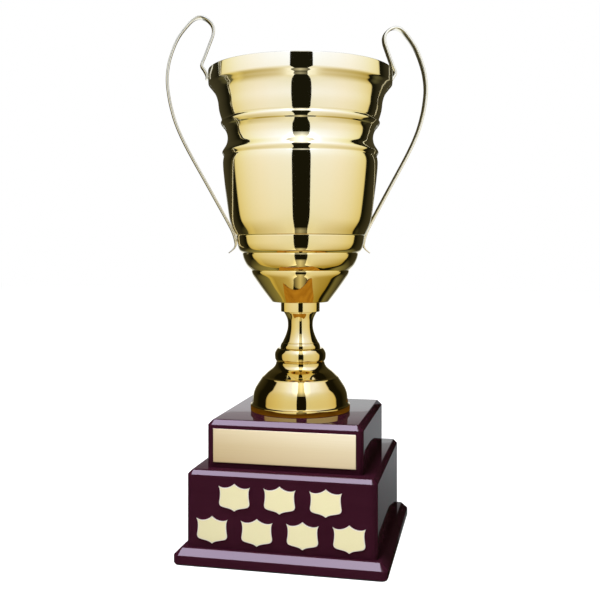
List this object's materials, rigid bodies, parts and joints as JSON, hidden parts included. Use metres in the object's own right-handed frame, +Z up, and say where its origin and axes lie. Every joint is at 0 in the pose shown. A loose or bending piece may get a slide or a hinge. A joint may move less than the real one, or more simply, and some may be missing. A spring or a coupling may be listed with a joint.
{
  "type": "cup trophy",
  "caption": "Two-handled gold cup on a waisted stem and domed foot, on a square lacquered two-tier wooden base with a nameplate and small shields.",
  "frame": {"origin": "on the surface that it stands on, under the middle of the base", "axes": "+Z up, the base's front with its plates faces -Y, +X to the right as seen from the front"},
  "size_m": [0.2688, 0.214, 0.5614],
  "materials": {
    "gold": "mirror-polished gold plate",
    "plate_gold": "satin, brushed along its length, with a bright bevelled edge",
    "lacquer": "dark wine-red piano lacquer, high gloss",
    "block_wood": "bare softwood",
    "steel": "zinc plated",
    "felt": "short wool felt"
  },
  "bodies": {
    "root": {"felt_pad": "felt", "plinth_board": "lacquer", "lower_front_panel": "lacquer", "lower_back_panel": "lacquer", "lower_left_panel": "lacquer", "lower_right_panel": "lacquer", "lower_top_board": "lacquer", "upper_front_panel": "lacquer", "upper_back_panel": "lacquer", "upper_left_panel": "lacquer", "upper_right_panel": "lacquer", "upper_top_board": "lacquer", "glue_block_1": "block_wood", "glue_block_2": "block_wood", "glue_block_3": "block_wood", "glue_block_4": "block_wood", "nameplate": "plate_gold", "shield_1": "plate_gold", "shield_2": "plate_gold", "shield_3": "plate_gold", "shield_4": "plate_gold", "shield_5": "plate_gold", "shield_6": "plate_gold", "shield_7": "plate_gold", "foot": "gold", "knop": "gold", "stem": "gold", "stem_collar": "gold", "bowl": "gold", "handle_right": "gold", "handle_left": "gold", "plinth_screw_1": "steel", "plinth_screw_2": "steel", "plinth_screw_3": "steel", "plinth_screw_4": "steel", "handle_screw_right_upper": "steel", "handle_screw_left_upper": "steel", "handle_screw_right_lower": "steel", "handle_screw_left_lower": "steel", "threaded_rod": "steel", "rod_washer": "steel", "rod_nut": "steel", "bowl_washer": "steel", "bowl_nut": "steel"}
  },
  "joints": []
}
